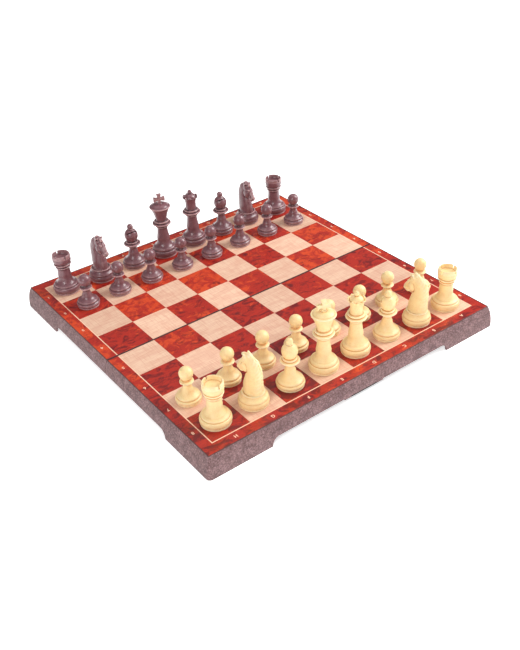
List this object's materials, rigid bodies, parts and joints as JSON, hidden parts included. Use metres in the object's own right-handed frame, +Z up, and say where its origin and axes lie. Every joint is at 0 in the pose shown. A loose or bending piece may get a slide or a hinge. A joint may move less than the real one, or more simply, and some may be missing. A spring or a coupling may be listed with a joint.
{
  "type": "folding chess set",
  "caption": "Folding magnetic chess board with storage under it, opened flat on its corner feet and set out with cream and brown pieces.",
  "frame": {"origin": "centre of the open board's footprint, on the table", "axes": "+Z up; +X along the seam from the h file to the a file; +Y from the light pieces to the dark pieces"},
  "size_m": [0.31, 0.3118, 0.0854],
  "materials": {
    "case_composite": "speckled wood-filled plastic, fine grain",
    "board_print": "printed wood film, satin: pale maple and red burl squares",
    "sheet_steel": "plain rolled sheet",
    "tray_plastic": "moulded, fine matt",
    "fastener_steel": "zinc plated",
    "latch_plastic": "moulded, satin",
    "cream_plastic": "satin wood-filled plastic",
    "brown_plastic": "satin wood-filled plastic"
  },
  "bodies": {
    "near_case": {"near_shell": "case_composite", "near_play_panel": "board_print", "near_steel_sheet": "sheet_steel", "near_storage_tray": "tray_plastic", "near_tray_screws": "fastener_steel", "near_hinge_pins": "fastener_steel", "latch_pin": "fastener_steel"},
    "hinge_links": {"hinge_link_left": "tray_plastic", "hinge_link_right": "tray_plastic"},
    "far_case": {"far_shell": "case_composite", "far_play_panel": "board_print", "far_steel_sheet": "sheet_steel", "far_storage_tray": "tray_plastic", "far_tray_screws": "fastener_steel", "far_hinge_pins": "fastener_steel"},
    "latch_swinging": {"latch": "latch_plastic"},
    "white_rook_h_piece": {"white_rook_h": "cream_plastic"},
    "white_pawn_h_piece": {"white_pawn_h": "cream_plastic"},
    "white_knight_g_piece": {"white_knight_g": "cream_plastic"},
    "white_pawn_g_piece": {"white_pawn_g": "cream_plastic"},
    "white_bishop_f_piece": {"white_bishop_f": "cream_plastic"},
    "white_pawn_f_piece": {"white_pawn_f": "cream_plastic"},
    "white_king_e_piece": {"white_king_e": "cream_plastic"},
    "white_pawn_e_piece": {"white_pawn_e": "cream_plastic"},
    "white_queen_d_piece": {"white_queen_d": "cream_plastic"},
    "white_pawn_d_piece": {"white_pawn_d": "cream_plastic"},
    "white_bishop_c_piece": {"white_bishop_c": "cream_plastic"},
    "white_pawn_c_piece": {"white_pawn_c": "cream_plastic"},
    "white_knight_b_piece": {"white_knight_b": "cream_plastic"},
    "white_pawn_b_piece": {"white_pawn_b": "cream_plastic"},
    "white_rook_a_piece": {"white_rook_a": "cream_plastic"},
    "white_pawn_a_piece": {"white_pawn_a": "cream_plastic"},
    "black_rook_h_piece": {"black_rook_h": "brown_plastic"},
    "black_pawn_h_piece": {"black_pawn_h": "brown_plastic"},
    "black_knight_g_piece": {"black_knight_g": "brown_plastic"},
    "black_pawn_g_piece": {"black_pawn_g": "brown_plastic"},
    "black_bishop_f_piece": {"black_bishop_f": "brown_plastic"},
    "black_pawn_f_piece": {"black_pawn_f": "brown_plastic"},
    "black_king_e_piece": {"black_king_e": "brown_plastic"},
    "black_pawn_e_piece": {"black_pawn_e": "brown_plastic"},
    "black_queen_d_piece": {"black_queen_d": "brown_plastic"},
    "black_pawn_d_piece": {"black_pawn_d": "brown_plastic"},
    "black_bishop_c_piece": {"black_bishop_c": "brown_plastic"},
    "black_pawn_c_piece": {"black_pawn_c": "brown_plastic"},
    "black_knight_b_piece": {"black_knight_b": "brown_plastic"},
    "black_pawn_b_piece": {"black_pawn_b": "brown_plastic"},
    "black_rook_a_piece": {"black_rook_a": "brown_plastic"},
    "black_pawn_a_piece": {"black_pawn_a": "brown_plastic"}
  },
  "joints": [
    {"name": "board_fold", "type": "hinge", "parent": "hinge_links", "child": "far_case", "pos_m": [0, 0.0032, 0.003], "axis": [-1, 0, 0], "range_deg": [0, 90]},
    {"name": "link_fold", "type": "hinge", "parent": "near_case", "child": "hinge_links", "pos_m": [0, -0.0032, 0.003], "axis": [-1, 0, 0], "range_deg": [0, 90]},
    {"name": "latch_swing", "type": "hinge", "parent": "near_case", "child": "latch_swinging", "pos_m": [0, -0.1534, 0.0056], "axis": [-1, 0, 0], "range_deg": [0, 120]},
    {"name": "white_rook_h_lift", "type": "slide", "parent": "near_case", "child": "white_rook_h_piece", "axis": [0, 0, 1], "range_m": [0, 0.09]},
    {"name": "white_pawn_h_lift", "type": "slide", "parent": "near_case", "child": "white_pawn_h_piece", "axis": [0, 0, 1], "range_m": [0, 0.09]},
    {"name": "white_knight_g_lift", "type": "slide", "parent": "near_case", "child": "white_knight_g_piece", "axis": [0, 0, 1], "range_m": [0, 0.09]},
    {"name": "white_pawn_g_lift", "type": "slide", "parent": "near_case", "child": "white_pawn_g_piece", "axis": [0, 0, 1], "range_m": [0, 0.09]},
    {"name": "white_bishop_f_lift", "type": "slide", "parent": "near_case", "child": "white_bishop_f_piece", "axis": [0, 0, 1], "range_m": [0, 0.09]},
    {"name": "white_pawn_f_lift", "type": "slide", "parent": "near_case", "child": "white_pawn_f_piece", "axis": [0, 0, 1], "range_m": [0, 0.09]},
    {"name": "white_king_e_lift", "type": "slide", "parent": "near_case", "child": "white_king_e_piece", "axis": [0, 0, 1], "range_m": [0, 0.09]},
    {"name": "white_pawn_e_lift", "type": "slide", "parent": "near_case", "child": "white_pawn_e_piece", "axis": [0, 0, 1], "range_m": [0, 0.09]},
    {"name": "white_queen_d_lift", "type": "slide", "parent": "near_case", "child": "white_queen_d_piece", "axis": [0, 0, 1], "range_m": [0, 0.09]},
    {"name": "white_pawn_d_lift", "type": "slide", "parent": "near_case", "child": "white_pawn_d_piece", "axis": [0, 0, 1], "range_m": [0, 0.09]},
    {"name": "white_bishop_c_lift", "type": "slide", "parent": "near_case", "child": "white_bishop_c_piece", "axis": [0, 0, 1], "range_m": [0, 0.09]},
    {"name": "white_pawn_c_lift", "type": "slide", "parent": "near_case", "child": "white_pawn_c_piece", "axis": [0, 0, 1], "range_m": [0, 0.09]},
    {"name": "white_knight_b_lift", "type": "slide", "parent": "near_case", "child": "white_knight_b_piece", "axis": [0, 0, 1], "range_m": [0, 0.09]},
    {"name": "white_pawn_b_lift", "type": "slide", "parent": "near_case", "child": "white_pawn_b_piece", "axis": [0, 0, 1], "range_m": [0, 0.09]},
    {"name": "white_rook_a_lift", "type": "slide", "parent": "near_case", "child": "white_rook_a_piece", "axis": [0, 0, 1], "range_m": [0, 0.09]},
    {"name": "white_pawn_a_lift", "type": "slide", "parent": "near_case", "child": "white_pawn_a_piece", "axis": [0, 0, 1], "range_m": [0, 0.09]},
    {"name": "black_rook_h_lift", "type": "slide", "parent": "far_case", "child": "black_rook_h_piece", "axis": [0, 0, 1], "range_m": [0, 0.09]},
    {"name": "black_pawn_h_lift", "type": "slide", "parent": "far_case", "child": "black_pawn_h_piece", "axis": [0, 0, 1], "range_m": [0, 0.09]},
    {"name": "black_knight_g_lift", "type": "slide", "parent": "far_case", "child": "black_knight_g_piece", "axis": [0, 0, 1], "range_m": [0, 0.09]},
    {"name": "black_pawn_g_lift", "type": "slide", "parent": "far_case", "child": "black_pawn_g_piece", "axis": [0, 0, 1], "range_m": [0, 0.09]},
    {"name": "black_bishop_f_lift", "type": "slide", "parent": "far_case", "child": "black_bishop_f_piece", "axis": [0, 0, 1], "range_m": [0, 0.09]},
    {"name": "black_pawn_f_lift", "type": "slide", "parent": "far_case", "child": "black_pawn_f_piece", "axis": [0, 0, 1], "range_m": [0, 0.09]},
    {"name": "black_king_e_lift", "type": "slide", "parent": "far_case", "child": "black_king_e_piece", "axis": [0, 0, 1], "range_m": [0, 0.09]},
    {"name": "black_pawn_e_lift", "type": "slide", "parent": "far_case", "child": "black_pawn_e_piece", "axis": [0, 0, 1], "range_m": [0, 0.09]},
    {"name": "black_queen_d_lift", "type": "slide", "parent": "far_case", "child": "black_queen_d_piece", "axis": [0, 0, 1], "range_m": [0, 0.09]},
    {"name": "black_pawn_d_lift", "type": "slide", "parent": "far_case", "child": "black_pawn_d_piece", "axis": [0, 0, 1], "range_m": [0, 0.09]},
    {"name": "black_bishop_c_lift", "type": "slide", "parent": "far_case", "child": "black_bishop_c_piece", "axis": [0, 0, 1], "range_m": [0, 0.09]},
    {"name": "black_pawn_c_lift", "type": "slide", "parent": "far_case", "child": "black_pawn_c_piece", "axis": [0, 0, 1], "range_m": [0, 0.09]},
    {"name": "black_knight_b_lift", "type": "slide", "parent": "far_case", "child": "black_knight_b_piece", "axis": [0, 0, 1], "range_m": [0, 0.09]},
    {"name": "black_pawn_b_lift", "type": "slide", "parent": "far_case", "child": "black_pawn_b_piece", "axis": [0, 0, 1], "range_m": [0, 0.09]},
    {"name": "black_rook_a_lift", "type": "slide", "parent": "far_case", "child": "black_rook_a_piece", "axis": [0, 0, 1], "range_m": [0, 0.09]},
    {"name": "black_pawn_a_lift", "type": "slide", "parent": "far_case", "child": "black_pawn_a_piece", "axis": [0, 0, 1], "range_m": [0, 0.09]}
  ],
  "couplings": [
    {"joint": "link_fold", "follows": "board_fold", "ratio": 1}
  ]
}
